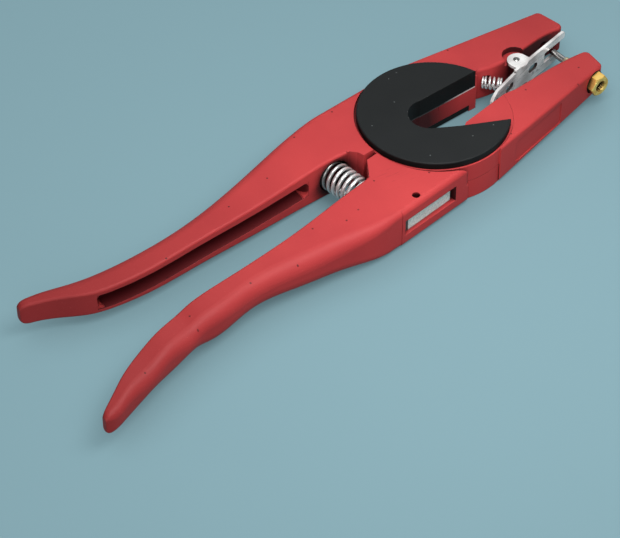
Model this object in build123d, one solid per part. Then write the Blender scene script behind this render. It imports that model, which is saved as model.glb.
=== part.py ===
from build123d import *
import math
import os

# Ear tag applicator, millimetres. The hub axis is the Z axis, the underside is Z = 0
# and the jaws point towards +X. Everything stands as it does in the rest pose, nearly closed.

# Main sizes
hub_radius = 30.0
lever_height = 17.5
mid_height = lever_height / 2
running_gap = 0.05
slide_gap = 0.3
far_away = 4 * hub_radius
wedge_step = 45.0
throat_side_angle = 45.0

# Hub heights, from the underside up
lower_cap_low = 0.6
lower_cap_high = 3.0
lap_height = 8.65
spigot_top = 10.9
shim_thickness = 0.6
shim_top = spigot_top + shim_thickness
ring_low = 8.8
ring_top = 16.4
cap_seat = 16.45
cap_top = 19.3

# Hub plan sizes
boss_radius = 12.5
cap_inset = 0.6
cap_radius = hub_radius - cap_inset
near_clearance_gap = 0.8
near_clearance_radius = hub_radius + near_clearance_gap
near_clearance_middle = (0.6, -1.5)
lower_cap_inset = 3.0
lower_cap_radius = hub_radius - lower_cap_inset
rib_width = 6.0
rib_inset = 0.5
rib_reach = hub_radius - rib_inset
cap_edge_round = 0.6
screw_radius = 1.5
screw_hole_radius = screw_radius + running_gap
screw_head_radius = 2.8
screw_head_height = 1.6
screw_cover = 1.0
screw_end = cap_top - screw_cover
screw_end_gap = 0.2
screw_hole_end = screw_end + screw_end_gap
screw_rim_distance = 5.0
screw_circle_radius = lower_cap_radius - screw_rim_distance
screw_angles = (42.0, 58.0, 74.0)

# Angles of the faces that stop the levers, in degrees about the hub
far_handle_end = 113.6
far_jaw_end = 80.8
near_handle_end = -98.6
near_jaw_end = -67.3
far_nose = 189.15
near_nose = 193.6

# Plan of the throat slot: upper corner, three points of its round base, mouth corners
slot_base_shares = [(-0.033, 0.263), (-0.340, 0.020), (-0.200, -0.253)]
slot_mouth_shares = [(0.147, -0.403), (1.333, -0.820), (1.333, 0.453)]

# Plan of the edge that the pin lever shows in the throat
throat_edge_shares = [(0.277, -0.297), (0.993, -0.093)]

# Handle sections, in hub radii: station, inner side, outer side, thickness, outer rounding
near_handle_shares = [
    (-5.900, -2.253, -2.340, 0.213, 0.040),
    (-5.853, -2.213, -2.347, 0.300, 0.067),
    (-5.767, -2.140, -2.337, 0.327, 0.097),
    (-5.617, -2.013, -2.267, 0.352, 0.120),
    (-5.283, -1.750, -2.100, 0.365, 0.148),
    (-4.953, -1.553, -1.940, 0.375, 0.152),
    (-4.623, -1.403, -1.797, 0.388, 0.157),
    (-4.293, -1.277, -1.673, 0.402, 0.163),
    (-3.633, -1.120, -1.503, 0.428, 0.173),
    (-2.973, -0.987, -1.417, 0.455, 0.184),
    (-2.310, -0.827, -1.409, 0.505, 0.180),
    (-1.900, -0.713, -1.406, 0.550, 0.147),
    (-1.650, -0.647, -1.394, 0.577, 0.113),
    (-1.467, -0.597, -1.360, 0.583, 0.087),
    (-1.300, -0.543, -1.319, 0.583, 0.073),
]
far_handle_shares = [
    (-5.953, -0.267, -0.180, 0.213, 0.040),
    (-5.907, -0.280, -0.153, 0.300, 0.060),
    (-5.800, -0.300, -0.133, 0.327, 0.077),
    (-5.500, -0.380, -0.147, 0.352, 0.110),
    (-5.167, -0.507, -0.173, 0.365, 0.148),
    (-4.783, -0.550, -0.177, 0.378, 0.153),
    (-4.293, -0.520, -0.130, 0.402, 0.163),
    (-3.633, -0.410, 0.000, 0.428, 0.173),
    (-2.973, -0.307, 0.217, 0.455, 0.184),
    (-2.310, -0.187, 0.475, 0.505, 0.180),
    (-1.900, -0.107, 0.620, 0.550, 0.147),
    (-1.650, -0.065, 0.690, 0.577, 0.113),
    (-1.467, -0.045, 0.737, 0.583, 0.087),
    (-1.300, -0.035, 0.775, 0.583, 0.073),
]
handle_inner_round_share = 0.033
handle_lift_share = 0.1
handle_root_thickness_share = 0.583

# Plans of the thick blocks beside the hub, in hub radii
near_block_shares = [(-1.257, -0.467), (-1.300, -0.543), (-2.000, -0.760), (-2.000, -1.494)]
far_block_shares = [(-1.190, -0.100), (-1.270, -0.035), (-2.000, -0.035), (-2.000, 0.648)]
near_nose_overhang = 6.0
far_nose_overhang = 5.0
near_corner_overhang = 1.9
far_corner_overhang = 0.7
near_corner = (hub_radius + near_corner_overhang, near_handle_end)
near_nose_corner = (hub_radius + near_nose_overhang, near_nose)
far_corner = (hub_radius + far_corner_overhang, far_handle_end)
far_nose_corner = (hub_radius + far_nose_overhang, far_nose)
near_jaw_side_shares = [(0.396, -0.946), (2.487, -0.205), (2.487, 0.148)]
near_jaw_curve_shares = [(2.487, 0.148), (1.910, 0.090), (1.390, -0.017), (1.013, -0.087)]
far_jaw_side_shares = [(0.167, 1.030), (2.393, 1.127), (2.530, 0.677)]
far_jaw_curve_shares = [(2.530, 0.677), (1.770, 0.567), (1.363, 0.463), (0.970, 0.483)]
block_root_share = 0.867
near_jaw_root_share = (0.733, -0.100)
throat_edge_overhang = 1.0
throat_edge_reach = hub_radius + throat_edge_overhang
far_jaw_root_share = (0.700, 0.370)
block_face = 1.3 * hub_radius
block_outer_round = 2.2
block_inner_round = 1.0
jaw_tip_round = 2.4
jaw_tip_share = 2.333
jaw_edge_round = 1.2
jaw_panel_length = 29.6
jaw_panel_height = 10.4
jaw_panel_depth = 0.4
jaw_panel_round = 1.0
jaw_panel_place = (24.6, 8.1)
jaw_slope_start = 4.0
jaw_slope_end = 90.0
jaw_slope_drop = 3.4

# Open hollow in the inner side of each handle
cavity_height = 7.0
cavity_rise = 0.5
cavity_wall = 3.0
cavity_overshoot = 6.0
cavity_stations_share = (-5.07, -2.16)
cavity_ramp_share = -1.90
cavity_middle_share = -4.50

# Return spring and its two seats
return_spring_radius = 5.5
return_spring_wire = 0.8
return_spring_seat_gap = 0.5
return_spring_seat_radius = return_spring_radius + return_spring_wire + return_spring_seat_gap
return_spring_turns = 8.5
return_spring_middle_share = (-1.443333, -0.32)
return_spring_tilt = 12.0
return_spring_half = 10.9

# Side bar in the window of the near handle
window_length = 27.0
window_height = 7.1
window_depth = 6.0
window_middle_share = (-0.813333, -1.196667)
window_tilt = 14.05
side_bar_length = 24.0
side_bar_height = 6.9
side_bar_thickness = 4.4
side_bar_recess = 1.2
dowel_place_share = (-0.99, -1.131667)
dowel_radius = 1.5
dowel_press_gap = 0.02
dowel_hole_radius = dowel_radius + dowel_press_gap
dowel_low = 2.0
dowel_high = 12.5

# Applicator pin, on the axis through the near jaw's tip
pin_origin_share = (2.328333, -0.306667)
pin_height = 9.3
pin_tilt = 8.5
pin_tip_reach = 27.6
pin_cone_length = 3.2
pin_front_radius = 1.4
pin_tip_radius = 0.35
pin_sleeve_radius = 1.85
pin_sleeve_reach = 17.4
pin_jaw_face_reach = 13.4
pin_shank_radius = 1.6
pin_bush_radius = 2.25
pin_hole_radius = pin_bush_radius + running_gap
nut_across_flats = 8.0
nut_sides = 6
nut_out = -2.4
nut_in = 2.6
nut_bore_radius = 2.5
nut_bore_depth = 2.4
nut_chamfer = 0.7
washer_radius = 4.6
washer_thickness = 1.0
counterbore_gap = 0.2
counterbore_radius = washer_radius + counterbore_gap
counterbore_start = nut_in
counterbore_reach = 12.0
closing_turn = 4.0
pin_pocket_radius = 2.1
pin_pocket_reach = 28.4

# Tag clip of bent sheet, in its own plane: length along the sheet, height above the underside
sheet = 1.2
clip_bend_share = (1.45, 0.286667)
clip_front_tilt = 18.7
clip_front_length = 32.0
clip_lower_prong_length = 27.6
clip_rear_tilt = 24.0
clip_rear_length = 13.2
clip_lip_tilt = 36.0
clip_lip_length = 6.4
clip_low = 2.9
clip_high = 14.6
clip_rear_high = 13.4
clip_rear_low = 4.1
notch_start = 18.6
notch_low = 6.6
notch_high = 11.4
prong_end_round = 1.1
clip_slot_length = 5.6
clip_slot_width = 3.2
clip_front_slot = (11.2, 9.0)
clip_rear_slot = (-4.6, 9.2)
clip_lip_round = 2.0
clip_hole = (-1.6, 10.0)
clip_hole_radius = 1.0

# Clip pivot
pivot_share = (1.586667, 0.463333)
pivot_pin_radius = 1.25
pivot_hole_radius = pivot_pin_radius + running_gap
pivot_press_gap = 0.02
pivot_fit_radius = pivot_pin_radius + pivot_press_gap
knuckle_radius = 2.4
ear_middle_offset = (0.2, -0.7)
ear_radius = 4.2
ear_recess_offset = (0.1, 1.0)
ear_recess_radius = 5.3
pivot_pin_low = 2.5
pivot_pin_high = 15.0
ear_gap = 0.3

# Clip spring
clip_spring_start_share = (1.065, 0.466667)
clip_spring_tilt = -45.4
clip_spring_length = 8.6
clip_spring_height = 10.0
clip_spring_radius = 2.0
clip_spring_wire = 0.4
clip_spring_turns = 6.5
clip_spring_seat_gap = 0.3
clip_spring_seat_radius = clip_spring_radius + clip_spring_wire + clip_spring_seat_gap


def in_radii(shares):
    """Plan points given in hub radii, as lengths."""
    return [(x * hub_radius, y * hub_radius) for x, y in shares]


def beside(place, offset):
    """Plan point at an offset from another one."""
    return (place[0] + offset[0], place[1] + offset[1])


# Places that follow the hub and the jaws
return_spring_middle, window_middle, dowel_place, pin_origin, clip_bend, pivot, clip_spring_start = in_radii(
    [return_spring_middle_share, window_middle_share, dowel_place_share, pin_origin_share,
     clip_bend_share, pivot_share, clip_spring_start_share])
ear_middle = beside(pivot, ear_middle_offset)
ear_recess_middle = beside(pivot, ear_recess_offset)


def polar(radius, angle):
    """Plan point at a radius and an angle in degrees about the hub."""
    return (radius * math.cos(math.radians(angle)), radius * math.sin(math.radians(angle)))


def disc(radius, low, high, middle=(0, 0)):
    """Upright round disc between two heights."""
    upright = (Align.CENTER, Align.CENTER, Align.MIN)
    return Pos(middle[0], middle[1], low) * Cylinder(radius, high - low, align=upright)


def slab(points, low, high):
    """Upright prism over a plan with straight sides, between two heights."""
    plan = make_face(Polyline(*points, close=True))
    return Pos(0, 0, low) * extrude(plan, high - low)


def wedge(start, end, low, high):
    """Upright wedge between two angles about the hub, past every hub part."""
    steps = math.ceil((end - start) / wedge_step)
    rim = [polar(far_away, start + (end - start) * i / steps) for i in range(steps + 1)]
    return slab([(0, 0)] + rim, low, high)


def round_bar(plane, radius, start, end):
    """Round bar along a plane's normal, between two distances from its origin."""
    upright = (Align.CENTER, Align.CENTER, Align.MIN)
    return plane * Pos(0, 0, start) * Cylinder(radius, end - start, align=upright)


def level_plane(place, angle, height):
    """Plane whose normal lies level at an angle to +X, with its local x level and local y up."""
    direction = polar(1, angle)
    sideways = polar(1, angle + 90)
    return Plane(origin=(place[0], place[1], height), x_dir=(*sideways, 0), z_dir=(*direction, 0))


def coil(plane, radius, wire, turns, length):
    """Coil spring that starts at a plane and winds along its normal."""
    path = Helix(pitch=(length - 2 * wire) / turns, height=length - 2 * wire, radius=radius)
    start = Plane(origin=path @ 0, z_dir=path % 0)
    spring = sweep(start * Circle(wire), path=path, is_frenet=True)
    return plane * Pos(0, 0, wire) * spring


def slot_cut(low, high):
    """Open throat of the hub, rounded at its base and open towards the jaws."""
    upper, middle, lower = in_radii(slot_base_shares)
    inner, low_mouth, high_mouth = in_radii(slot_mouth_shares)
    base = ThreePointArc(upper, middle, lower)
    sides = Polyline(lower, inner, low_mouth, high_mouth, upper)
    return Pos(0, 0, low) * extrude(make_face(base + sides), high - low)


def rib_zone(low, high, extra):
    """Band of the hub plate's wall along the throat's far side."""
    corner = in_radii(slot_base_shares)[0]
    mouth = in_radii(slot_mouth_shares)[2]
    width = rib_width + extra
    band = slab([corner, mouth, (mouth[0], mouth[1] + width), (corner[0], corner[1] + width)], low, high)
    return band & disc(rib_reach + extra, low, high) & wedge(0, far_jaw_end, low, high)


def handle_section(station, inner, outer, thickness, outer_round):
    """Cross-section of a handle: flat on its inner side, well rounded on its outer side."""
    lift = handle_lift_share * (handle_root_thickness_share * hub_radius - thickness)
    middle = (station, (inner + outer) / 2, mid_height + lift)
    plane = Plane(origin=middle, x_dir=(0, 1, 0), z_dir=(1, 0, 0))
    face = Rectangle(abs(outer - inner), thickness)
    corners = face.vertices().sort_by(Axis.X)
    outer_corners = corners[2:] if outer > inner else corners[:2]
    inner_corners = corners[:2] if outer > inner else corners[2:]
    face = fillet(outer_corners, outer_round)
    inner_side = inner_corners[0].X
    inner_corners = [corner for corner in face.vertices() if abs(corner.X - inner_side) < running_gap]
    return plane * fillet(inner_corners, handle_inner_round_share * hub_radius)


def handle(shares):
    """Handle lofted through its cross-sections, from the tip to the thick block."""
    sizes = [[value * hub_radius for value in row] for row in shares]
    return loft([handle_section(*row) for row in sizes])


def handle_cavity(shares):
    """Long hollow that opens on a handle's inner side, with a ramp at the hub end."""
    first, last = cavity_stations_share
    rows = [row for row in shares if first < row[0] <= last - block_inner_round / hub_radius]
    side = 1 if shares[-1][2] > shares[-1][1] else -1
    floor = [(first * hub_radius, between(shares, first, 2) * hub_radius - side * cavity_wall)]
    floor += [(row[0] * hub_radius, row[2] * hub_radius - side * cavity_wall) for row in rows]
    floor += [(last * hub_radius, between(shares, last, 2) * hub_radius - side * cavity_wall)]
    ramp = (cavity_ramp_share * hub_radius, between(shares, cavity_ramp_share, 1) * hub_radius)
    past = [(x * hub_radius, between(shares, x, 1) * hub_radius - side * cavity_overshoot)
            for x in (cavity_ramp_share, last, cavity_middle_share, first)]
    low = mid_height + cavity_rise - cavity_height / 2
    return slab(floor + [ramp] + past, low, low + cavity_height)


def between(shares, station, column):
    """A column of a handle's table, read between its stations."""
    for row, after in zip(shares, shares[1:]):
        if row[0] <= station <= after[0]:
            part = (station - row[0]) / (after[0] - row[0])
            return row[column] + part * (after[column] - row[column])


def handle_block(shares, corner, nose, outer_side):
    """Thick block that joins a handle to the hub, cut square where the handle starts."""
    root = block_root_share * hub_radius
    roots = [polar(*corner), polar(root, corner[1]), polar(root, nose[1]), polar(*nose)]
    plan = slab(in_radii(shares) + roots, 0, lever_height)
    edges = [e for e in plan.edges().filter_by(GeomType.LINE) if e.length > hub_radius]
    outer = [e for e in edges if outer_side * (e @ 0.5).Y > root / 2]
    block = fillet(outer, block_outer_round)
    return block - Pos(-block_face - far_away / 2, 0, 0) * Box(far_away, 2 * far_away, far_away)


def jaw_slope(station):
    """How far the jaws' top and underside have drawn in at a distance from the hub axis."""
    return jaw_slope_drop * (station - jaw_slope_start) / (jaw_slope_end - jaw_slope_start)


def jaw_block(side_shares, curve_shares, roots):
    """Jaw with straight outer sides, a curved inner side and rounded edges, thinner to its tip."""
    curve = in_radii(curve_shares)
    outline = Polyline(curve[-1], *roots, *in_radii(side_shares)) + Spline(*curve)
    prism = Pos(0, 0, -jaw_slope_drop) * extrude(make_face(outline), lever_height + 2 * jaw_slope_drop)
    tips = prism.edges().filter_by(Axis.Z).filter_by(lambda e: (e @ 0.5).X > jaw_tip_share * hub_radius)
    near, far = jaw_slope(-far_away), jaw_slope(far_away)
    side = [(-far_away, near), (far_away, far),
            (far_away, lever_height - far), (-far_away, lever_height - near)]
    profile = Plane.XZ * make_face(Polyline(*side, close=True))
    jaw = fillet(tips, jaw_tip_round) & extrude(profile, far_away, both=True)
    return fillet(jaw.edges().filter_by(is_jaw_rim), jaw_edge_round)


def is_jaw_rim(edge):
    """Whether an edge runs along the jaw's top or underside, clear of the hub."""
    rise = abs((edge @ 0).Z - (edge @ 1).Z)
    middle = edge @ 0.5
    return rise < mid_height and math.hypot(middle.X, middle.Y) > hub_radius


def jaw_panel():
    """Bare shallow panel let into the near jaw's outer side."""
    start, end = in_radii(near_jaw_side_shares[:2])
    turn = math.degrees(math.atan2(end[1] - start[1], end[0] - start[0]))
    along, height = jaw_panel_place
    panel = Box(jaw_panel_length, 2 * jaw_panel_depth, jaw_panel_height)
    panel = fillet(panel.edges().filter_by(Axis.Y), jaw_panel_round)
    return Pos(start[0], start[1], height) * Rot(0, 0, turn) * Pos(along, 0, 0) * panel


def return_spring_plane(outwards):
    """Plane at one end of the return spring, its normal pointing along the spring."""
    angle = 90 + return_spring_tilt if outwards else return_spring_tilt - 90
    return level_plane(return_spring_middle, angle, mid_height)


def pin_plane():
    """Plane at the nut, its normal pointing along the pin to its tip."""
    return level_plane(pin_origin, 90 + pin_tilt, pin_height)


def clip_spring_plane():
    """Plane at the clip spring's end on the far jaw, its normal pointing to the clip."""
    return level_plane(clip_spring_start, clip_spring_tilt, clip_spring_height)


def window_box(length, height, outer, inner):
    """Box behind the near handle's outer side, between two depths below that side."""
    place = Pos(window_middle[0], window_middle[1], mid_height) * Rot(0, 0, window_tilt)
    return place * Pos(0, (outer + inner) / 2, 0) * Box(length, inner - outer, height)


def screw_places():
    """Plan points of the hub screws."""
    return [polar(screw_circle_radius, angle) for angle in screw_angles]


def frame_lever():
    """Near handle, lower half of the lap joint and far jaw, cast in one piece."""
    roots = in_radii([far_jaw_root_share]) + [polar(block_root_share * hub_radius, far_jaw_end)]
    jaw = jaw_block(far_jaw_side_shares, far_jaw_curve_shares, roots)
    jaw -= disc(hub_radius - slide_gap, 0, lever_height)
    block = handle_block(near_block_shares, near_corner, near_nose_corner, -1)
    block -= disc(hub_radius + slide_gap, lap_height, far_away)
    block -= disc(near_clearance_radius, lap_height, far_away, near_clearance_middle)
    lever = block + handle(near_handle_shares) + jaw
    lever += disc(hub_radius, 0, lap_height)
    sector = disc(hub_radius + slide_gap, 0, ring_top) & wedge(0, far_jaw_end, 0, ring_top)
    lever += sector - disc(boss_radius + slide_gap, lap_height, ring_top)
    lever += disc(boss_radius, lap_height, spigot_top)
    lever -= rib_zone(spigot_top, far_away, running_gap)
    lever -= disc(hub_radius + slide_gap, ring_top, far_away)
    lever -= slot_cut(-far_away, far_away)
    lever -= disc(lower_cap_radius + running_gap, -far_away, lower_cap_high + running_gap)
    for place in screw_places():
        lever -= disc(screw_hole_radius, 0, far_away, place)
    lever -= handle_cavity(near_handle_shares)
    lever -= round_bar(return_spring_plane(False), return_spring_seat_radius, 0, return_spring_half)
    lever -= window_box(window_length, window_height, -window_depth, window_depth)
    lever -= disc(dowel_hole_radius, dowel_low, far_away, dowel_place)
    lever -= round_bar(clip_spring_plane(), clip_spring_seat_radius, 0, clip_spring_length)
    pocket = round_bar(pin_plane(), pin_pocket_radius, pin_sleeve_reach, pin_pocket_reach)
    for turn in (0, closing_turn / 2, closing_turn):
        lever -= Rot(0, 0, turn) * pocket
    return lever_with_clip_seat(lever)


def lever_with_clip_seat(lever):
    """Far jaw with the two ear recesses, the knuckle between them and its pivot hole."""
    knuckle_low = clip_low + sheet + ear_gap
    knuckle_high = clip_high - sheet - ear_gap
    recess = disc(ear_recess_radius, 0, far_away, ear_recess_middle)
    lever -= recess & disc(far_away, knuckle_high, far_away)
    lever -= recess & disc(far_away, 0, knuckle_low)
    web = slab([(pivot[0] - knuckle_radius, pivot[1]), (pivot[0] + knuckle_radius, pivot[1]),
                (pivot[0] + knuckle_radius, pivot[1] + ear_radius),
                (pivot[0] - knuckle_radius, pivot[1] + ear_radius)], knuckle_low, knuckle_high)
    lever += disc(knuckle_radius, knuckle_low, knuckle_high, pivot) + web
    return lever - disc(pivot_fit_radius, 0, far_away, pivot)


def pin_lever():
    """Far handle, upper half of the lap joint and near jaw, cast in one piece."""
    roots = in_radii([near_jaw_root_share]) + [polar(block_root_share * hub_radius, near_jaw_end)]
    jaw = jaw_block(near_jaw_side_shares, near_jaw_curve_shares, roots)
    block = handle_block(far_block_shares, far_corner, far_nose_corner, 1)
    lever = block + handle(far_handle_shares) + jaw
    edge = in_radii(throat_edge_shares)
    along = (edge[1][0] - edge[0][0], edge[1][1] - edge[0][1])
    open_side = [(0, 0), edge[0], (edge[1][0] + along[0], edge[1][1] + along[1]),
                 polar(far_away, throat_side_angle), polar(far_away, far_handle_end)]
    lever -= disc(hub_radius + slide_gap, -far_away, ring_low)
    lever -= disc(hub_radius + slide_gap, ring_top, far_away)
    lever -= disc(hub_radius - slide_gap, ring_low, ring_top)
    lever += disc(hub_radius, ring_low, ring_top)
    lever -= slab(open_side, 0, far_away) & disc(throat_edge_reach, 0, far_away)
    lever -= disc(boss_radius + running_gap, 0, far_away)
    lever -= jaw_panel() + handle_cavity(far_handle_shares)
    lever -= round_bar(return_spring_plane(True), return_spring_seat_radius, 0, return_spring_half)
    lever -= round_bar(pin_plane(), pin_hole_radius, -counterbore_reach, pin_tip_reach)
    return lever - round_bar(pin_plane(), counterbore_radius, -counterbore_reach, counterbore_start)


def hub_cap():
    """Black top plate with the bearing wall that reaches down to the shim."""
    plate = disc(cap_radius, cap_seat, cap_top) - slot_cut(0, far_away)
    rim = plate.edges().filter_by(GeomType.CIRCLE).group_by(Axis.Z)[-1].sort_by(SortBy.RADIUS)[-1]
    plate = fillet(rim, cap_edge_round)
    wall = disc(boss_radius, shim_top, cap_seat) + rib_zone(shim_top, cap_seat, 0)
    cap = plate + (wall - slot_cut(0, far_away))
    for place in screw_places():
        cap -= disc(screw_hole_radius, 0, screw_hole_end, place)
    return cap


def hub_shim():
    """Thin steel plate under the bearing wall."""
    plan = disc(boss_radius, spigot_top, shim_top) + rib_zone(spigot_top, shim_top, 0)
    shim = plan - slot_cut(0, far_away)
    for place in screw_places():
        shim -= disc(screw_hole_radius, 0, far_away, place)
    return shim


def lower_cap():
    """Black plate let into the underside, with the countersunk screw holes."""
    cap = disc(lower_cap_radius, lower_cap_low, lower_cap_high) - slot_cut(0, far_away)
    for place in screw_places():
        cap -= disc(screw_hole_radius, 0, far_away, place) + screw_head(place, running_gap)
    return cap


def screw_head(place, gap):
    """Countersunk head, flush with the lower plate."""
    low = Pos(0, 0, lower_cap_low) * Circle(screw_head_radius + gap)
    high = Pos(0, 0, lower_cap_low + screw_head_height) * Circle(screw_radius + gap)
    return Pos(place[0], place[1], 0) * loft([low, high])


def hub_screws():
    """Screws from below that hold both black plates to the frame lever."""
    screws = [disc(screw_radius, lower_cap_low, screw_end, place) + screw_head(place, 0)
              for place in screw_places()]
    return Compound(children=screws)


def side_bar():
    """Steel bar behind the window of the near handle, held by the dowel."""
    back = side_bar_recess + side_bar_thickness
    bar = window_box(side_bar_length, side_bar_height, side_bar_recess, back)
    return bar - disc(dowel_hole_radius, 0, far_away, dowel_place)


def bar_dowel():
    """Dowel let in a little below the near handle's top face."""
    return disc(dowel_radius, dowel_low, dowel_high, dowel_place)


def return_spring():
    """Compression spring that opens the handles."""
    middle = return_spring_plane(False)
    start = middle * Pos(0, 0, -return_spring_half)
    length = 2 * return_spring_half
    return coil(start, return_spring_radius, return_spring_wire, return_spring_turns, length)


def clip_spring():
    """Small compression spring that holds the clip's front against the far jaw."""
    plane = clip_spring_plane()
    return coil(plane, clip_spring_radius, clip_spring_wire, clip_spring_turns, clip_spring_length)


def clip_pin():
    """Pivot pin through the knuckle and both ears."""
    return disc(pivot_pin_radius, pivot_pin_low, pivot_pin_high, pivot)


def applicator_pin():
    """Steel pin that carries the tag: tapered tip, thin front, shank through the jaw."""
    plane = pin_plane()
    shoulder = pin_tip_reach - pin_cone_length
    shank_end = pin_sleeve_reach - pin_front_radius
    shank = round_bar(plane, pin_shank_radius, nut_bore_depth + nut_out, shank_end)
    front = round_bar(plane, pin_front_radius, 0, shoulder)
    tip = loft([plane * Pos(0, 0, shoulder) * Circle(pin_front_radius),
                plane * Pos(0, 0, pin_tip_reach) * Circle(pin_tip_radius)])
    return shank + front + tip


def pin_sleeve():
    """Sleeve round the pin's base, with the bush that centres it in the jaw."""
    plane = pin_plane()
    sleeve = round_bar(plane, pin_bush_radius, nut_in, pin_jaw_face_reach)
    sleeve += round_bar(plane, pin_sleeve_radius, pin_jaw_face_reach, pin_sleeve_reach)
    sleeve -= round_bar(plane, pin_shank_radius, 0, pin_sleeve_reach - pin_front_radius)
    return sleeve - round_bar(plane, pin_front_radius, 0, far_away)


def pin_nut():
    """Hexagon nut with a wide hollow in its outer face."""
    plane = pin_plane()
    start = plane * Pos(0, 0, nut_out)
    outline = RegularPolygon(nut_across_flats / 2, side_count=nut_sides, major_radius=False)
    hexagon = extrude(start * outline, nut_in - nut_out - washer_thickness)
    across = nut_across_flats / math.cos(math.pi / nut_sides) / 2
    cone = loft([plane * Pos(0, 0, nut_out) * Circle(across - nut_chamfer),
                 plane * Pos(0, 0, nut_out + nut_chamfer) * Circle(across)])
    barrel = round_bar(plane, across, nut_out + nut_chamfer, nut_in)
    nut = hexagon & (cone + barrel)
    nut -= round_bar(plane, nut_bore_radius, nut_out, nut_out + nut_bore_depth)
    return nut - round_bar(plane, pin_shank_radius, nut_out, far_away)


def nut_washer():
    """Dark washer between the nut and the counterbore's floor."""
    plane = pin_plane()
    washer = round_bar(plane, washer_radius, nut_in - washer_thickness, nut_in)
    return washer - round_bar(plane, pin_shank_radius, 0, far_away)


def clip_plate_plane(angle, place):
    """Plane of one length of the clip: local x along the sheet, local y up, from the underside."""
    along = polar(1, angle)
    return Plane(origin=(*place, 0), x_dir=(*along, 0), z_dir=(along[1], -along[0], 0))


def clip_plate(plane, points):
    """Flat length of the clip's sheet with a straight-sided outline."""
    return extrude(plane * make_face(Polyline(*points, close=True)), sheet / 2, both=True)


def clip_bend_post(place, low, high):
    """Rounded bend where two lengths of the clip's sheet meet."""
    return disc(sheet / 2, low, high, place)


def tag_clip():
    """Clip of bent sheet: forked front, two ears at the pivot and a pressed rear lip."""
    front = clip_plate_plane(clip_front_tilt, clip_bend)
    plate = clip_plate(front, [(0, clip_low), (clip_lower_prong_length, clip_low),
                               (clip_lower_prong_length, notch_low), (notch_start, notch_low),
                               (notch_start, notch_high), (clip_front_length, notch_high),
                               (clip_front_length, clip_high), (0, clip_high)])
    ends = plate.edges().filter_by(lambda e: is_sheet_corner(front, e, clip_lower_prong_length))
    plate = fillet(ends, prong_end_round)
    plate -= front * Pos(clip_front_slot[0], clip_front_slot[1], -sheet) * extrude(
        SlotOverall(clip_slot_length, clip_slot_width), 2 * sheet)
    rear_start = (clip_bend[0], clip_bend[1])
    back = polar(clip_rear_length, 180 + clip_rear_tilt)
    rear_end = (rear_start[0] + back[0], rear_start[1] + back[1])
    rear = clip_plate_plane(clip_rear_tilt, rear_start)
    plate += clip_plate(rear, [(-clip_rear_length, clip_rear_low), (0, clip_rear_low),
                               (0, clip_rear_high), (-clip_rear_length, clip_rear_high)])
    plate += clip_bend_post(rear_start, clip_rear_low, clip_rear_high)
    plate -= rear * Pos(clip_rear_slot[0], clip_rear_slot[1], -sheet) * extrude(
        SlotOverall(clip_slot_length, clip_slot_width), 2 * sheet)
    lip = clip_plate_plane(clip_lip_tilt, rear_end)
    tail = clip_plate(lip, [(-clip_lip_length, clip_rear_low), (0, clip_rear_low),
                            (0, clip_rear_high), (-clip_lip_length, clip_rear_high)])
    ends = tail.edges().filter_by(lambda e: is_sheet_corner(lip, e, clip_lip_length))
    plate += fillet(ends, clip_lip_round)
    plate += clip_bend_post(rear_end, clip_rear_low, clip_rear_high)
    plate -= lip * Pos(clip_hole[0], clip_hole[1], -sheet) * extrude(Circle(clip_hole_radius), 2 * sheet)
    for low in (clip_low, clip_high - sheet):
        plate += clip_ear(low)
    return plate


def is_sheet_corner(plane, edge, reach):
    """Whether an edge crosses the sheet, at least that far from where its length starts."""
    place = plane.to_local_coords(edge @ 0.5)
    crosses = abs(edge.length - sheet) < running_gap and abs(place.Z) < running_gap
    return crosses and abs(place.X) > reach - running_gap


def clip_ear(low):
    """Rounded ear bent square from the clip's edge, with the pivot hole."""
    tilt = math.radians(clip_front_tilt)
    along = (math.cos(tilt), math.sin(tilt))
    foot = (ear_middle[0] - clip_bend[0]) * along[0] + (ear_middle[1] - clip_bend[1]) * along[1]
    near = (clip_bend[0] + (foot - ear_radius) * along[0], clip_bend[1] + (foot - ear_radius) * along[1])
    far = (clip_bend[0] + (foot + ear_radius) * along[0], clip_bend[1] + (foot + ear_radius) * along[1])
    side = (-along[1] * ear_radius, along[0] * ear_radius)
    middle_near = (ear_middle[0] - ear_radius * along[0], ear_middle[1] - ear_radius * along[1])
    middle_far = (ear_middle[0] + ear_radius * along[0], ear_middle[1] + ear_radius * along[1])
    ear = slab([near, far, middle_far, middle_near], low, low + sheet)
    ear += disc(ear_radius, low, low + sheet, ear_middle)
    return ear - disc(pivot_hole_radius, low, low + sheet, pivot)


PARTS = [frame_lever, hub_cap, hub_shim, lower_cap, hub_screws, side_bar, bar_dowel,
         return_spring, clip_spring, clip_pin, pin_lever, applicator_pin, pin_sleeve,
         pin_nut, nut_washer, tag_clip]

if __name__ == "__main__":
    os.makedirs("parts", exist_ok=True)
    for part in PARTS:
        solid = part()
        solid.label = part.__name__
        export_step(solid, f"parts/{part.__name__}.step")
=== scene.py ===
import math

import bpy
import numpy as np
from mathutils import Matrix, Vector


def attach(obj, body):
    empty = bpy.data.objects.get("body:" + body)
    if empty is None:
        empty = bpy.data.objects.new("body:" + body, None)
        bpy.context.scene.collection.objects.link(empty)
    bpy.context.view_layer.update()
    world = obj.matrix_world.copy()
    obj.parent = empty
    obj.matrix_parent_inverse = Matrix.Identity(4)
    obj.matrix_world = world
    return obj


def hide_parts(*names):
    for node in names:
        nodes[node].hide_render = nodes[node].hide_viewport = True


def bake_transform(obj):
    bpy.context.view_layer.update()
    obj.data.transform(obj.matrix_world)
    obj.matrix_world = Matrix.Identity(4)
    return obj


# Looks of the ear tag applicator, in metres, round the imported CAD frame.

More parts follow.
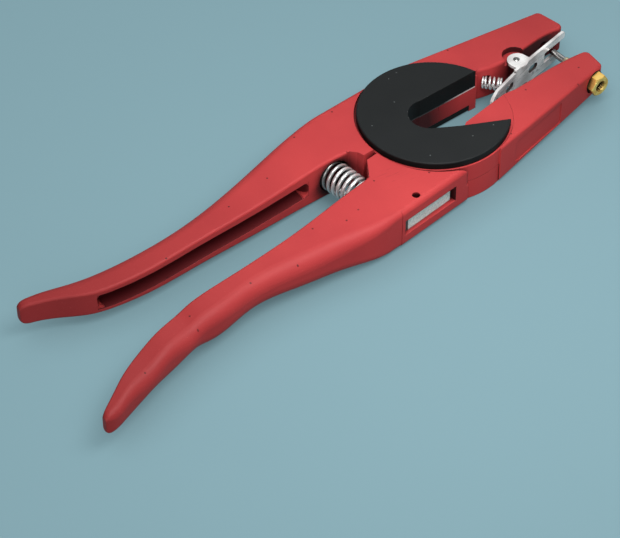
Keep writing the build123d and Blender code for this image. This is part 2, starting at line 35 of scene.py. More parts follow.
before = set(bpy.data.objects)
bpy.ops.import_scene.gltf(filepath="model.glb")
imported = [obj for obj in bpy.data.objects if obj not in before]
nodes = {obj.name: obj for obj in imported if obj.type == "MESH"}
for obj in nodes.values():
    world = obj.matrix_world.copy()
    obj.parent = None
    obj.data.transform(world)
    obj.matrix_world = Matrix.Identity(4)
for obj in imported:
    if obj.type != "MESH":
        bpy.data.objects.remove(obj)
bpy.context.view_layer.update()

MM = 0.001


def level_direction(angle):
    """Unit vector in the level plane, at an angle from X."""
    return np.array([math.cos(angle), math.sin(angle), 0])


# Return spring between the handles: its middle, and the tilt of its line from far to near handle
RETURN_MIDDLE = np.array([-43.3, -9.6, 8.75]) * MM
RETURN_TILT = math.radians(-78)
RETURN_HALF = 10.9 * MM
RETURN_RADIUS = 5.5 * MM
RETURN_WIRE = 0.7 * MM
RETURN_TURNS = 9.0

along_return = level_direction(RETURN_TILT)
far_seat = RETURN_MIDDLE - RETURN_HALF * along_return

# Clip spring between the far jaw and the clip's rear
CLIP_SPRING_START = np.array([31.95, 14.0, 10.0]) * MM
CLIP_SPRING_TILT = math.radians(-45.4)
CLIP_SPRING_LENGTH = 8.6 * MM
CLIP_SPRING_RADIUS = 2.25 * MM
CLIP_SPRING_WIRE = 0.48 * MM
CLIP_SPRING_TURNS = 5.5

# Winding of both springs: sections a turn, turns closed at each end, turns over which the rise is
# eased, and in wire radii the rise of a closed turn and the lift of the whole wire
SECTIONS_A_TURN = 48
CLOSED_TURNS = 1.1
EASE_TURNS = 0.35
CLOSED_RISE = 2.1
WIRE_LIFT = 0.1

# Places of shade and wear: closed end of the throat, scuffed spot on the near block's top, far jaw
# behind the clip, root of the near jaw, and the hub end of the window round the side bar
THROAT_END = (-7 * MM, 0.0, 6 * MM)
SCUFF_PLACE = (-32 * MM, -22 * MM, 17.5 * MM)
CLIP_SHADE = (57 * MM, 15 * MM, 9 * MM)
JAW_ROOT = (26 * MM, -14 * MM, 16 * MM)
WINDOW_END = (-11.3 * MM, -32.6 * MM, 8.75 * MM)

# Painted shadow on the step round the hub at the near jaw's root: its two radii and the height above
# which it shows
STEP_SHADOW_RADII = (29.9 * MM, 31.0 * MM)
STEP_SHADOW_LOW, STEP_SHADOW_HIGH = 14 * MM, 15 * MM

# Side bar's direction, and the two places along it between which it has no painted shade
BAR_ALONG = (0.97, 0.243, 0.0)
BAR_UNSHADED = (-43.0 * MM, -19.9 * MM)

# Slots in the clip's sheet, the way the sheet faces and its tilt from X
CLIP_SLOTS = ((54.1 * MM, 12.2 * MM, 9.0 * MM), (39.3 * MM, 6.7 * MM, 9.2 * MM))
SLOT_REACH = (3.0 * MM, 3.4 * MM)
SHEET_FACING = (-0.34, 0.94, 0.0)
SHEET_TILT = math.radians(18.7)

# Nut and pin: the axis at the nut, its tilt towards the pin's tip, and the nut's threaded hollow
PIN_ORIGIN = np.array([69.85, -9.2, 9.3]) * MM
PIN_TILT = math.radians(98.5)
NUT_OUT = -2.4 * MM
NUT_BORE = 2.5 * MM
NUT_BORE_DEPTH = 2.4 * MM
THREAD_PITCH = 0.6 * MM
THREAD_HEIGHT = 0.18 * MM
THREAD_LEAD_IN = 0.35 * MM
THREAD_GAP = 0.02 * MM
THREAD_ROWS = 40

# Hollows in the handles: height of the middle, half height, corner radius, and for each handle its
# body, the two ends along it and the line of its inner side as stations and places, in mm
HOLLOW_MIDDLE, HOLLOW_HALF = 9.25 * MM, 3.5 * MM
HOLLOW_CORNER = 3.0 * MM
HOLLOW_DEPTH = 6.0 * MM
HOLLOW_INSET = 0.12 * MM
HOLLOW_STEPS = 9
HOLLOWS = {
    "far": ("pin_side", (-152.1, -57.0), (-155.0, -143.5, -69.3, -57.0), (-15.2, -16.5, -5.6, -3.2)),
    "near": ("frame", (-152.1, -57.0), (-158.5, -148.6, -138.7, -69.3, -57.0),
             (-52.5, -46.6, -42.1, -24.8, -21.4)),
}

# Clip pivot pin: its ends, and the low dome on each as shares of the radius and drops in mm
PIVOT = np.array([47.6, 13.9, 0]) * MM
PIVOT_RADIUS = 1.25 * MM
PIVOT_LOW, PIVOT_HIGH = 2.5 * MM, 15.0 * MM
DOME_SHARES = (0.01, 0.3, 0.55, 0.8, 1.0)
DOME_DROPS = (0.0, 0.02, 0.06, 0.16, 0.4)
DENT_DEPTH = 0.3 * MM
DENT_TURN = 0.9

# Hub screws: circle and places in degrees, half width of the hexagon socket, its bevel and its four
# heights in mm, and the profile from the face to the shank's end as radius and height in mm
SCREW_CIRCLE = 22.0 * MM
SCREW_ANGLES = (42, 58, 74)
SCREW_SOCKET = 0.95 * MM
SCREW_RIM = 0.08 * MM
SCREW_SOCKET_HEIGHTS = (1.75, 1.7, 0.68, 0.6)
SCREW_PROFILE = ((2.62, 0.6), (2.78, 0.66), (2.78, 0.72), (1.5, 2.2), (1.5, 18.0), (1.2, 18.3), (0.02, 18.3))

# Turned pieces: points round the axis, radius of the small face that closes a piece at the axis, and
# the angle from which an edge is crisp
AROUND = 48
AXIS_RADIUS = 0.02 * MM
CRISP_ANGLE = math.radians(38)

# Studio, in metres and watts: floor's reach and height, lamps as place, target, size and power
FLOOR_REACH = 6.0
FLOOR_LOW = -0.2 * MM
LAMPS = {
    "key_light": ((-0.015, -0.1, 0.25), (-0.02, -0.07, 0), (0.2, 0.16), 0.74),
    "fill_light": ((-0.5, -0.75, 0.36), (0, 0, 0), (0.6, 0.5), 2.7),
    "back_card": ((0.45, 0.6, 0.7), (0, 0, 0), (0.9, 0.6), 1.1),
}
WORLD_COLOUR = (0.80, 0.86, 0.88, 1)
WORLD_STRENGTH = 0.25

# Camera at the photograph's angle
CAMERA_PLACE = (-0.4083, -0.5887, 0.6407)
CAMERA_FORWARD = (0.3667, 0.6103, -0.7022)
CAMERA_LENS = 145.16
CAMERA_SENSOR = 36
CAMERA_CLIP = (0.05, 30)


# Shader maths

class Signal:
    """A socket of a finish's node tree. Arithmetic and comparisons on it add Math nodes."""

    def __init__(self, finish, socket):
        self.finish = finish
        self.socket = socket

    def math(self, operation, *others):
        """One Math node on this signal and others."""
        inputs = {i: value for i, value in enumerate((self, *others))}
        return self.finish.node("ShaderNodeMath", {"operation": operation}, inputs)

    def __add__(self, other):
        return self.math("ADD", other)

    def __mul__(self, other):
        return self.math("MULTIPLY", other)

    def __rsub__(self, other):
        return self.math("MULTIPLY", -1).math("ADD", other)

    def __gt__(self, other):
        return self.math("GREATER_THAN", other)

    def __lt__(self, other):
        return self.math("LESS_THAN", other)

    __radd__ = __add__
    __rmul__ = __mul__

    def ramp(self, low, high):
        """0 below low and 1 above high, straight between."""
        inputs = {"Value": self, "From Min": low, "From Max": high}
        return self.finish.node("ShaderNodeMapRange", {"clamp": True}, inputs)

    def at_least(self, other):
        """The greater of two signals."""
        return self.math("MAXIMUM", other)


class Finish:
    """A material built on the Principled shader, with its patterns on Object coordinates."""

    def __init__(self, name, **shader_values):
        self.material = bpy.data.materials.new(name)
        self.material.use_nodes = True
        self.tree = self.material.node_tree
        self.shader = self.tree.nodes["Principled BSDF"]
        for socket, value in shader_values.items():
            self.shader.inputs[socket.replace("_", " ")].default_value = value
        self.place = self.node("ShaderNodeTexCoord", {}, {}, "Object")

    def node(self, kind, settings, inputs, output=0):
        """One node: its settings first, then the values or signals of its inputs."""
        node = self.tree.nodes.new(kind)
        for name, value in settings.items():
            setattr(node, name, value)
        for name, value in inputs.items():
            if isinstance(value, Signal):
                self.tree.links.new(value.socket, node.inputs[name])
            else:
                node.inputs[name].default_value = value
        return Signal(self, node.outputs[output])

    def set(self, **signals):
        """Feed sockets of the Principled shader, named with _ for each space."""
        for name, signal in signals.items():
            self.tree.links.new(signal.socket, self.shader.inputs[name.replace("_", " ")])

    def noise(self, size, detail=2.0, place=None):
        """Noise from 0 to 1 whose features are about size metres wide."""
        inputs = {"Vector": place or self.place, "Scale": 1 / size, "Detail": detail}
        return self.node("ShaderNodeTexNoise", {}, inputs, "Fac")

    def cells(self, size, output="Distance", dimensions="3D"):
        """Voronoi cells about size metres wide."""
        settings = {"voronoi_dimensions": dimensions}
        return self.node("ShaderNodeTexVoronoi", settings, {"Vector": self.place, "Scale": 1 / size}, output)

    def specks(self, size, spacing, share):
        """Sparse round specks on level faces, size metres wide, in that share of cells spacing apart."""
        chosen = self.part(self.cells(spacing, "Color", "2D"), "X") < share
        spot = self.cells(spacing, "Distance", "2D") < size / spacing / 2
        return spot * chosen * (1 - self.sideways())

    def part(self, vector, axis):
        """One coordinate of a vector."""
        return self.node("ShaderNodeSeparateXYZ", {}, {"Vector": vector}, axis)

    def dot(self, first, second):
        """Dot product of two vectors, each three numbers or a signal."""
        inputs = {0: first, 1: second}
        return self.node("ShaderNodeVectorMath", {"operation": "DOT_PRODUCT"}, inputs, "Value")

    def normal(self):
        """The way the surface faces."""
        return self.node("ShaderNodeNewGeometry", {}, {}, "Normal")

    def stretched(self, turn, *scale):
        """Object coordinates turned about Z and scaled, for drawn-out grain."""
        inputs = {"Vector": self.place, "Rotation": (0, 0, -turn), "Scale": scale}
        return self.node("ShaderNodeMapping", {}, inputs)

    def blend(self, factor, first, second):
        """Colour between two colours, each four numbers or a signal."""
        inputs = {0: factor, 6: first, 7: second}
        return self.node("ShaderNodeMix", {"data_type": "RGBA"}, inputs, 2)

    def edges(self, radius):
        """1 on the sharp edges and 0 on the faces, from how far a rounded normal turns."""
        rounded = self.node("ShaderNodeBevel", {"samples": 4}, {"Radius": radius}, "Normal")
        return (1 - self.dot(rounded, self.normal())).ramp(0.0, 0.22)

    def hollows(self, reach, low, high, own_only=False):
        """0 where less than the share low of the view is closed within reach, and 1 where more than the
        share high is, as in hollows and gaps. With own_only a piece is closed in by itself alone."""
        settings = {"samples": 16, "only_local": own_only}
        open_share = self.node("ShaderNodeAmbientOcclusion", settings, {"Distance": reach}, "AO")
        return (1 - open_share).ramp(low, high)

    def near(self, point, full, none):
        """1 within the distance full of a point, falling to 0 at the distance none."""
        inputs = {0: self.place, 1: tuple(point)}
        distance = self.node("ShaderNodeVectorMath", {"operation": "DISTANCE"}, inputs, "Value")
        return 1 - distance.ramp(full, none)

    def round_gap(self, inner, outer, fade):
        """1 between two radii about the hub axis, fading to 0 over a width on both sides."""
        inputs = {0: self.place, 1: (1, 1, 0)}
        level = self.node("ShaderNodeVectorMath", {"operation": "MULTIPLY"}, inputs, "Vector")
        radius = self.node("ShaderNodeVectorMath", {"operation": "LENGTH"}, {0: level}, "Value")
        return radius.ramp(inner - fade, inner) * (1 - radius.ramp(outer, outer + fade))

    def past(self, axis, low, high):
        """0 below one place along an axis and 1 above another."""
        return self.part(self.place, axis).ramp(low, high)

    def across(self, direction, full=0.1, none=0.75):
        """1 on faces square to a direction's line and 0 on faces that look along it."""
        return 1 - self.dot(self.normal(), direction).math("ABSOLUTE").ramp(full, none)

    def sideways(self):
        """1 on upright faces and 0 on level ones."""
        return self.across((0, 0, 1))

    def along(self, direction):
        """Distance from the origin in a direction."""
        return self.dot(self.place, direction)

    def relief(self, height, distance, strength=1.0, rounding=0.0):
        """Bump of a height signal, over edges rounded in shading where rounding is given."""
        inputs = {"Height": height, "Distance": distance, "Strength": strength}
        if rounding:
            inputs["Normal"] = self.node("ShaderNodeBevel", {"samples": 6}, {"Radius": rounding}, "Normal")
        self.set(Normal=self.node("ShaderNodeBump", {}, inputs, "Normal"))


def colour(red, green, blue):
    return (red, green, blue, 1.0)


# Finishes

def satin_red_paint():
    """Satin red paint over cast metal: faint orange peel, blotches, pinholes, dust, a scuffed spot, paler
    edges, partly rubbed and partly painted highlight, and painted shade towards the ends of handles and
    jaws, in the gaps and in the hollows."""
    f = Finish("satin_red_paint", Roughness=0.5, Specular_IOR_Level=0.25)
    blotch = f.noise(22 * MM, 3)
    grain = f.noise(0.75 * MM, 2)
    tone = f.blend(blotch.ramp(0.3, 0.7), colour(0.480, 0.040, 0.043), colour(0.540, 0.049, 0.050))
    # Paler edges: partly rubbed paint, partly a painted edge highlight
    rubbed_and_highlit = f.edges(0.4 * MM) * f.noise(3 * MM).ramp(0.4, 0.7)
    tone = f.blend(rubbed_and_highlit * 0.5, tone, colour(0.66, 0.10, 0.10))
    # Painted shade, darker towards the handles' tips and the jaws' ends, where the light falls off
    painted_falloff = 0.6 * (1 - f.past("X", -165 * MM, -55 * MM)) + 0.25 * f.past("X", 25 * MM, 60 * MM)
    tone = f.blend(painted_falloff, tone, colour(0.24, 0.022, 0.022))
    pinholes = f.specks(0.75 * MM, 6.5 * MM, 0.12)
    tone = f.blend(pinholes * 0.9, tone, colour(0.07, 0.008, 0.008))
    dust = f.noise(0.5 * MM, 1) > 0.72
    tone = f.blend(dust * 0.3, tone, colour(0.62, 0.10, 0.10))
    scratches = f.noise(1.1 * MM, 2, f.stretched(-0.5, 0.12, 1.6, 1)).ramp(0.64, 0.70)
    scuff = scratches * f.near(SCUFF_PLACE, 3 * MM, 9 * MM)
    tone = f.blend(scuff * 0.6, tone, colour(0.20, 0.016, 0.018))
    # Painted shade in the gaps and corners
    tone = f.blend(f.hollows(4 * MM, 0.52, 0.8) * 0.95, tone, colour(0.02, 0.002, 0.003))
    # Painted shade deep in the levers' own hollows
    tone = f.blend(red_paint_hollow_shade(f) * 0.9, tone, colour(0.055, 0.004, 0.006))
    tone = f.blend(red_paint_shade(f) * 0.93, tone, colour(0.02, 0.003, 0.004))
    f.set(Base_Color=tone, Roughness=0.46 + 0.14 * grain + 0.06 * blotch)
    f.relief(grain + 0.8 * f.noise(2.4 * MM, 1), 0.05 * MM, 0.5, 0.35 * MM)
    return f.material


def red_paint_hollow_shade(f):
    """1 for painted shade deep in a lever's own hollows; in the handles, which are shallow, from less depth.
    """
    handles = 1 - f.past("X", -57 * MM, -54 * MM)
    deep = handles * f.hollows(16 * MM, 0.16, 0.4, own_only=True)
    return deep.at_least(f.hollows(16 * MM, 0.5, 0.75, own_only=True))


def red_paint_shade(f):
    """1 for painted shade in the throat's closed end, the far spring seat, behind the clip, on the step at
    the near jaw's root and on the hub end of the side bar's window."""
    throat = f.near(THROAT_END, 14 * MM, 29 * MM) * (1 - f.past("Z", 12 * MM, 13 * MM))
    seat = f.near(far_seat, 8 * MM, 13 * MM) * f.hollows(10 * MM, 0.08, 0.3)
    behind_clip = f.near(CLIP_SHADE, 12 * MM, 22 * MM) * f.sideways()
    # Painted shadow on the step round the hub at the near jaw's root
    step_shadow = f.round_gap(*STEP_SHADOW_RADII, 0.3 * MM) * f.sideways() * f.past("Z", STEP_SHADOW_LOW, STEP_SHADOW_HIGH)
    step_shadow = step_shadow * f.near(JAW_ROOT, 14 * MM, 17 * MM)
    window = f.near(WINDOW_END, 4.6 * MM, 5.6 * MM) * (1 - f.across(BAR_ALONG, 0.6, 0.8))
    return throat.at_least(seat).at_least(behind_clip).at_least(step_shadow).at_least(window)


def matte_black():
    """Matte black plate: fine sand grain, faint scuffs at the rim, a few pale specks, and painted shade on
    the sides and in hollows.
    """
    f = Finish("matte_black", Roughness=0.6, Specular_IOR_Level=0.18)
    grain = f.noise(0.45 * MM, 3)
    scuff = f.noise(1.6 * MM, 4, f.stretched(0.6, 0.25, 1.4, 1)) > 0.63
    tone = f.blend(f.noise(18 * MM, 3), colour(0.010, 0.0115, 0.012), colour(0.015, 0.0165, 0.017))
    tone = f.blend(f.edges(0.5 * MM) * scuff * 0.7, tone, colour(0.16, 0.17, 0.17))
    tone = f.blend(f.specks(0.42 * MM, 5 * MM, 0.16) * 0.7, tone, colour(0.20, 0.22, 0.22))
    # Painted shade: darker on upright faces and in hollows
    shade = (f.sideways() * 0.75).at_least(f.hollows(12 * MM, 0.3, 0.7))
    tone = f.blend(shade, tone, colour(0.002, 0.002, 0.002))
    f.set(Base_Color=tone, Roughness=0.5 + 0.16 * grain)
    f.relief(grain, 0.03 * MM, 0.5, 0.4 * MM)
    return f.material


def polished_metal(name, light, dark, roughness, grain_size, grain_scale=(1, 1, 1), grain_turn=0.0,
                   tarnish_size=4 * MM, metallic=1.0, relief=0.35, crevice_shade=(1.6 * MM, 0.25, 0.75),
                   slots=(), painted_shade_spot=None):
    """Polished or brushed metal: drawn-out grain, cloudy tarnish, softer edges with a painted highlight, and
    painted shade in the hollows and on the walls of slots. Painted shade also darkens round a point where
    one is given, with the distances at which it is full and gone."""
    f = Finish(name, Metallic=metallic, Roughness=roughness)
    grain = f.noise(grain_size, 3, f.stretched(grain_turn, *grain_scale))
    cloud = f.noise(tarnish_size, 1)
    tone = f.blend(cloud.ramp(0.35, 0.7), light, dark)
    # Painted highlight: lighter edges
    tone = f.blend(f.edges(0.3 * MM) * 0.6, tone, light)
    # Painted shade on the walls of slots
    for slot in slots:
        wall = f.near(slot, *SLOT_REACH) * f.across(SHEET_FACING, 0.6, 0.8)
        tone = f.blend(wall * 0.96, tone, colour(0.03, 0.015, 0.014))
    # Painted shade round a given point
    if painted_shade_spot:
        tone = f.blend(f.near(*painted_shade_spot) * 0.96, tone, colour(0.012, 0.011, 0.011))
    # Painted shade in the hollows
    tone = f.blend(f.hollows(*crevice_shade) * 0.92, tone, colour(0.015, 0.013, 0.011))
    f.set(Base_Color=tone, Roughness=roughness * (0.7 + 0.6 * grain) + 0.05 * cloud)
    f.relief(grain, 0.012 * MM, relief, 0.25 * MM)
    return f.material


def zinc_grain():
    """Grainy zinc coating: small bright and grey crystals, lightly pitted, with painted shade at the bar's
    ends and in its hollows.
    """
    f = Finish("zinc_grain", Metallic=0.1, Roughness=0.5)
    crystal = f.part(f.cells(0.55 * MM, "Color"), "X")
    fine = f.noise(0.3 * MM, 3)
    tone = f.blend(crystal * 0.6 + fine * 0.5, colour(0.45, 0.56, 0.53), colour(0.90, 1.0, 0.96))
    # Painted shade at the bar's ends and where the window's walls close it in
    place = f.along(BAR_ALONG)
    ends = (place < BAR_UNSHADED[0]) + (place > BAR_UNSHADED[1])
    shade = ends.at_least(f.hollows(2.6 * MM, 0.34, 0.6))
    tone = f.blend(shade * 0.95, tone, colour(0.02, 0.018, 0.016))
    f.set(Base_Color=tone, Roughness=0.38 + 0.3 * crystal)
    f.relief(crystal + fine, 0.05 * MM, 0.7, 0.3 * MM)
    return f.material


def dark_rubber():
    """Dark washer with a dusty face."""
    f = Finish("dark_rubber", Roughness=0.7)
    dust = f.noise(0.8 * MM, 3)
    tone = f.blend(dust.ramp(0.45, 0.8), colour(0.022, 0.014, 0.013), colour(0.09, 0.05, 0.045))
    f.set(Base_Color=tone, Roughness=0.55 + 0.3 * dust)
    f.relief(dust, 0.03 * MM, 0.5)
    return f.material


def floor_paper():
    """Matte blue-grey paper. Part of its colour shows evenly in the picture and in reflections, less so
    close to the object, where this leaves a painted shadow."""
    f = Finish("floor_paper", Roughness=0.9, Specular_IOR_Level=0.1, Emission_Strength=1.0)
    tooth = f.noise(30 * MM, 2)
    straight = f.node("ShaderNodeLightPath", {}, {}, "Is Camera Ray")
    mirrored = f.node("ShaderNodeLightPath", {}, {}, "Is Glossy Ray")
    # Painted shadow: less of the even colour where the object closes the floor in
    shown = (straight + mirrored) * (1 - 0.6 * f.hollows(22 * MM, 0.08, 0.85))
    f.set(Base_Color=f.blend(tooth, colour(0.066, 0.106, 0.119), colour(0.069, 0.110, 0.123)),
          Emission_Color=f.blend(shown, colour(0, 0, 0), colour(0.178, 0.296, 0.335)))
    return f.material


# All these metals get painted shade in their hollows; the spring also round its far seat, the clip on its
# slots' walls and the shim towards the throat's closed end
spring_chrome = polished_metal("spring_chrome", colour(1.0, 1.0, 1.0), colour(0.88, 0.88, 0.87), 0.2,
                               grain_size=2.5 * MM, metallic=0.7, relief=0.1,
                               crevice_shade=(2.4 * MM, 0.24, 0.62), painted_shade_spot=(far_seat, 5.5 * MM, 9 * MM))
clip_chrome = polished_metal("clip_chrome", colour(1.0, 0.985, 0.97), colour(0.52, 0.48, 0.47), 0.25,
                             grain_size=2.5 * MM, grain_scale=(0.12, 1, 1), grain_turn=SHEET_TILT,
                             tarnish_size=8 * MM, metallic=0.28, relief=0.02,
                             crevice_shade=(2.6 * MM, 0.16, 0.45), slots=CLIP_SLOTS)
pin_steel = polished_metal("pin_steel", colour(0.55, 0.54, 0.53), colour(0.36, 0.35, 0.34), 0.2,
                           grain_size=0.4 * MM, grain_scale=(1, 0.2, 1), grain_turn=PIN_TILT)
sleeve_brass = polished_metal("sleeve_brass", colour(0.86, 0.77, 0.55), colour(0.68, 0.52, 0.28), 0.3,
                              grain_size=0.5 * MM, grain_scale=(1, 0.2, 1), grain_turn=PIN_TILT)
nut_brass = polished_metal("nut_brass", colour(1.0, 0.70, 0.19), colour(0.80, 0.41, 0.07), 0.22,
                           grain_size=1.5 * MM, tarnish_size=2.5 * MM, metallic=0.62, relief=0.08,
                           crevice_shade=(4.0 * MM, 0.20, 0.50))
shim_steel = polished_metal("shim_steel", colour(0.95, 0.94, 0.92), colour(0.80, 0.79, 0.77), 0.28,
                            grain_size=0.5 * MM, grain_scale=(0.2, 1, 1), metallic=0.5,
                            painted_shade_spot=(THROAT_END, 21 * MM, 29 * MM))
dark_zinc = polished_metal("dark_zinc", colour(0.42, 0.42, 0.43), colour(0.22, 0.22, 0.23), 0.35,
                           grain_size=0.5 * MM)
red_paint = satin_red_paint()
black_plate = matte_black()

CAD_FINISHES = {
    "frame_lever": red_paint, "pin_lever": red_paint,
    "hub_cap": black_plate, "lower_cap": black_plate,
    "hub_shim": shim_steel, "side_bar": zinc_grain(),
    "bar_dowel": dark_zinc, "hub_screws": dark_zinc,
    "return_spring": spring_chrome, "clip_spring": spring_chrome,
    "clip_pin": pin_steel, "applicator_pin": pin_steel,
    "pin_sleeve": sleeve_brass, "pin_nut": nut_brass,
    "nut_washer": dark_rubber(), "tag_clip": clip_chrome,
}
for name, material in CAD_FINISHES.items():
    nodes[name].data.materials.clear()
    nodes[name].data.materials.append(material)


# Surfaces worked out with numpy

def piece(name, points, faces, material):
    """Smooth mesh object from points and faces, in its material and slot."""
    mesh = bpy.data.meshes.new(name)
    mesh.from_pydata(points, [], faces)
    mesh.validate()
    mesh.update()
    mesh.shade_smooth()
    mesh.materials.append(material)
    made = bpy.data.objects.new(name, mesh)
    bpy.context.scene.collection.objects.link(made)
    return made


def grid_faces(along, around):
    """Quads of a tube of sections, closed at both ends by one flat polygon each."""
    i, j = np.meshgrid(np.arange(along - 1), np.arange(around), indexing="ij")
    k = (j + 1) % around
    quads = np.stack([i * around + j, i * around + k, (i + 1) * around + k, (i + 1) * around + j], -1)
    first = np.arange(around)[::-1].tolist()
    last = (np.arange(around) + (along - 1) * around).tolist()
    return quads.reshape(-1, 4).tolist() + [first, last]


def wound_lift(t, length, wire, turns):
    """Rise of a spring's wire at t from 0 to 1: straight between the closed turns and nearly flat in
    them, then averaged over a part of a turn, so that the slope changes gently."""
    closed = CLOSED_TURNS / turns
    rise = CLOSED_RISE * wire
    lift = np.interp(t, [0, closed, 1 - closed, 1], [0, rise, length - 2 * rise, length - rise])
    window = int(SECTIONS_A_TURN * EASE_TURNS)
    padded = np.pad(lift, window // 2, mode="reflect", reflect_type="odd")
    eased = np.convolve(padded, np.ones(window) / window, "same")
    return eased[window // 2: window // 2 + len(t)] + WIRE_LIFT * wire


def spring(name, start, tilt, length, radius, wire, turns, around=12):
    """Compression spring. The wire's centre goes round a helix: at t from 0 to 1 it has turned by
    2 pi turns t and risen by wound_lift. Round it lies a circle of points with the wire's radius,
    square to the helix. Points past the two end planes are pressed back on them, as a ground end is."""
    t = np.linspace(0, 1, int(turns * SECTIONS_A_TURN) + 1)
    turn = 2 * np.pi * turns * t
    centre = np.stack([radius * np.cos(turn), radius * np.sin(turn), wound_lift(t, length, wire, turns)], -1)
    tangent = np.gradient(centre, axis=0)
    tangent /= np.linalg.norm(tangent, axis=1)[:, None]
    outwards = np.stack([np.cos(turn), np.sin(turn), np.zeros_like(turn)], -1)
    across = np.cross(tangent, outwards)
    a = np.linspace(0, 2 * np.pi, around, endpoint=False)
    ring = np.cos(a)[None, :, None] * outwards[:, None] + np.sin(a)[None, :, None] * across[:, None]
    points = (centre[:, None] + wire * ring).reshape(-1, 3)
    points[:, 2] = np.clip(points[:, 2], 0, length)
    along = level_direction(tilt)
    up = np.array([0, 0, 1.0])
    side = np.cross(up, along)
    placed = start + points[:, :1] * side + points[:, 1:2] * up + points[:, 2:] * along
    return piece(name, placed, grid_faces(len(t), around), spring_chrome)


# Springs

return_coil = spring("return_coil", far_seat, RETURN_TILT, 2 * RETURN_HALF, RETURN_RADIUS, RETURN_WIRE,
                     RETURN_TURNS, around=14)
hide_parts("return_spring")
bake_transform(return_coil)

clip_coil = spring("clip_coil", CLIP_SPRING_START, CLIP_SPRING_TILT, CLIP_SPRING_LENGTH, CLIP_SPRING_RADIUS,
                   CLIP_SPRING_WIRE, CLIP_SPRING_TURNS)
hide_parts("clip_spring")
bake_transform(clip_coil)


# Small turned pieces

def full_turn():
    """Angles of the points round a turned piece's axis."""
    return np.linspace(0, 2 * np.pi, AROUND, endpoint=False)


def turned_points(radii, heights, origin, direction):
    """Points about an axis: at a turn a and a profile step k the point lies at radius radii[k](a)
    from the axis and heights[k](a) along it. Each entry is a number or an array over the turn."""
    a = full_turn()
    r = np.stack([np.broadcast_to(v, a.shape) for v in radii])
    h = np.stack([np.broadcast_to(v, a.shape) for v in heights])
    along = np.asarray(direction, float)
    first = np.cross([0.0, 0.0, 1.0] if abs(along[2]) < 0.9 else [0.0, 1.0, 0.0], along)
    first /= np.linalg.norm(first)
    second = np.cross(along, first)
    spokes = np.cos(a)[:, None] * first + np.sin(a)[:, None] * second
    return (origin + r[..., None] * spokes + h[..., None] * along).reshape(-1, 3)


def turned(name, radii, heights, material, origin, direction):
    """Closed piece turned about an axis, with crisp edges."""
    points = turned_points(radii, heights, origin, direction)
    made = piece(name, points, grid_faces(len(radii), AROUND), material)
    made.data.set_sharp_from_angle(angle=CRISP_ANGLE)
    return made


def staked_pin():
    """Clip pivot with a staked head at each end: a low dome, pressed in at two places by the square
    of the positive part of cos(2 a) at a turn a."""
    dent = DENT_DEPTH * np.maximum(0, np.cos(2 * full_turn() + DENT_TURN)) ** 2
    drops = [drop * MM + (dent if 0.2 < share < 0.9 else 0) for share, drop in zip(DOME_SHARES, DOME_DROPS)]
    radii = [share * PIVOT_RADIUS for share in DOME_SHARES]
    low = [PIVOT_LOW + drop for drop in drops]
    high = [PIVOT_HIGH - drop for drop in drops]
    made = turned("staked_pin", radii + radii[::-1], low + high[::-1], pin_steel,
                  PIVOT, (0, 0, 1))
    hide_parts("clip_pin")
    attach(made, "frame")


def hub_screw(number, angle):
    """Countersunk screw from below: a hexagon socket, whose wall lies at a / cos(turn from its flat),
    a face, a rounded rim, the cone under the head and the shank."""
    socket = SCREW_SOCKET / np.cos((full_turn() + np.pi / 6) % (np.pi / 3) - np.pi / 6)
    radii = [AXIS_RADIUS, socket, socket, socket + SCREW_RIM] + [radius * MM for radius, _ in SCREW_PROFILE]
    heights = SCREW_SOCKET_HEIGHTS + tuple(height for _, height in SCREW_PROFILE)
    place = level_direction(math.radians(angle)) * SCREW_CIRCLE
    made = turned(f"hub_screw_{number}", radii, [height * MM for height in heights], dark_zinc,
                  place, (0, 0, 1))
    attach(made, "frame")
    return made


def nut_thread():
    """Thread in the nut's hollow: the wall's radius rises and falls by a triangle wave of the
    depth less the turn, so the ridge climbs one pitch a turn. It fades in over the first rows."""
    depth = np.linspace(0.0, NUT_BORE_DEPTH, THREAD_ROWS)
    phase = (depth[:, None] - THREAD_PITCH * full_turn() / (2 * np.pi)) / THREAD_PITCH
    ridge = 2 * np.abs(phase - np.floor(phase + 0.5))
    fade = np.clip(depth / THREAD_LEAD_IN, 0, 1)[:, None]
    wall = NUT_BORE - THREAD_GAP - THREAD_HEIGHT * ridge * fade
    radii = list(wall) + [NUT_BORE, NUT_BORE + THREAD_GAP / 2]
    mouth = NUT_OUT + THREAD_GAP
    heights = [mouth + d for d in depth] + [NUT_OUT + NUT_BORE_DEPTH, mouth]
    points = turned_points(radii, heights, PIN_ORIGIN, level_direction(PIN_TILT))
    i, j = np.meshgrid(np.arange(len(radii)), np.arange(AROUND), indexing="ij")
    k, n = (j + 1) % AROUND, (i + 1) % len(radii)
    quads = np.stack([i * AROUND + j, n * AROUND + j, n * AROUND + k, i * AROUND + k], -1)
    made = piece("nut_thread", points, quads.reshape(-1, 4).tolist(), nut_brass)
    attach(made, "pin_side")


# Cast corners in the handles' hollows

def hollow_corner(name, body, side, inner_line, end, turn, level):
    """Cast radius in a corner of a handle's hollow. In the plan of the opening it fills what lies
    between the two sides and a quarter circle; it runs from the inner side into the metal. side, turn
    and level are 1 or -1: the way into the metal, towards the hub, and up."""
    a = np.linspace(0, np.pi / 2, HOLLOW_STEPS)
    reach = np.append(HOLLOW_CORNER * (1 - np.cos(a)), 0)
    rise = np.append(HOLLOW_CORNER * (1 - np.sin(a)), 0)
    x = end - turn * reach
    z = HOLLOW_MIDDLE + level * (HOLLOW_HALF - rise)
    front = np.interp(x, *inner_line) + side * HOLLOW_INSET
    back = front + side * HOLLOW_DEPTH
    points = np.concatenate([np.stack([x, y, z], -1) for y in (front, back)])
    faces = grid_faces(2, len(x))
    if turn * level * side < 0:
        faces = [face[::-1] for face in faces]
    made = piece(name, points, faces, red_paint)
    made.data.shade_flat()
    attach(made, body)


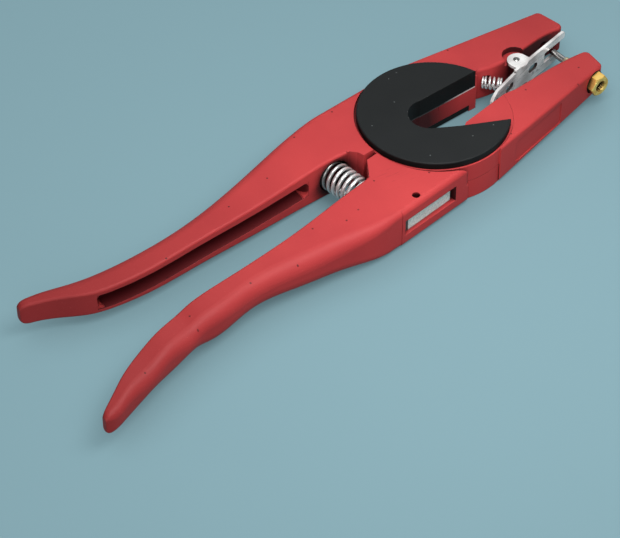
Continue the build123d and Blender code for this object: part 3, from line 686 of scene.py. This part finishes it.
def hollow_corners():
    """Rounded corners at both ends of both hollows."""
    for handle, (body, ends, stations, places) in HOLLOWS.items():
        side = 1 if handle == "far" else -1
        inner_line = np.array(stations) * MM, np.array(places) * MM
        for turn, where, end in ((-1, "tip", ends[0]), (1, "hub", ends[1])):
            for level, height in ((-1, "low"), (1, "high")):
                name = f"{handle}_hollow_corner_{where}_{height}"
                hollow_corner(name, body, side, inner_line, end * MM, turn, level)


staked_pin()
screws = [hub_screw(number, angle) for number, angle in enumerate(SCREW_ANGLES)]
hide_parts("hub_screws")
nut_thread()
hollow_corners()


# Studio

def studio_floor():
    """Square of paper just under the object."""
    mesh = bpy.data.meshes.new("floor")
    signs = ((-1, -1), (1, -1), (1, 1), (-1, 1))
    corners = [(x * FLOOR_REACH, y * FLOOR_REACH, FLOOR_LOW) for x, y in signs]
    mesh.from_pydata(corners, [], [(0, 1, 2, 3)])
    mesh.materials.append(floor_paper())
    floor = bpy.data.objects.new("floor", mesh)
    bpy.context.scene.collection.objects.link(floor)


def aimed(name, data, place, direction):
    """Lamp or camera at a place, looking in a direction."""
    made = bpy.data.objects.new(name, data)
    made.location = place
    made.rotation_mode = "QUATERNION"
    made.rotation_quaternion = Vector(direction).to_track_quat("-Z", "Y")
    bpy.context.scene.collection.objects.link(made)
    return made


def area_light(name, place, target, size, power):
    """Soft rectangular lamp turned to a target."""
    light = bpy.data.lights.new(name, "AREA")
    light.shape = "RECTANGLE"
    light.size, light.size_y = size
    light.energy = power
    aimed(name, light, place, Vector(target) - Vector(place))


def studio_world():
    """Even pale light from all sides."""
    world = bpy.data.worlds.new("studio")
    bpy.context.scene.world = world
    world.use_nodes = True
    background = world.node_tree.nodes["Background"]
    background.inputs["Color"].default_value = WORLD_COLOUR
    background.inputs["Strength"].default_value = WORLD_STRENGTH


def studio_camera():
    """Camera at the photograph's angle."""
    data = bpy.data.cameras.new("camera")
    data.sensor_width = CAMERA_SENSOR
    data.lens = CAMERA_LENS
    data.clip_start, data.clip_end = CAMERA_CLIP
    bpy.context.scene.camera = aimed("camera", data, CAMERA_PLACE, CAMERA_FORWARD)


studio_floor()
for name, lamp in LAMPS.items():
    area_light(name, *lamp)
studio_world()
studio_camera()
bpy.context.scene.view_settings.view_transform = "Standard"
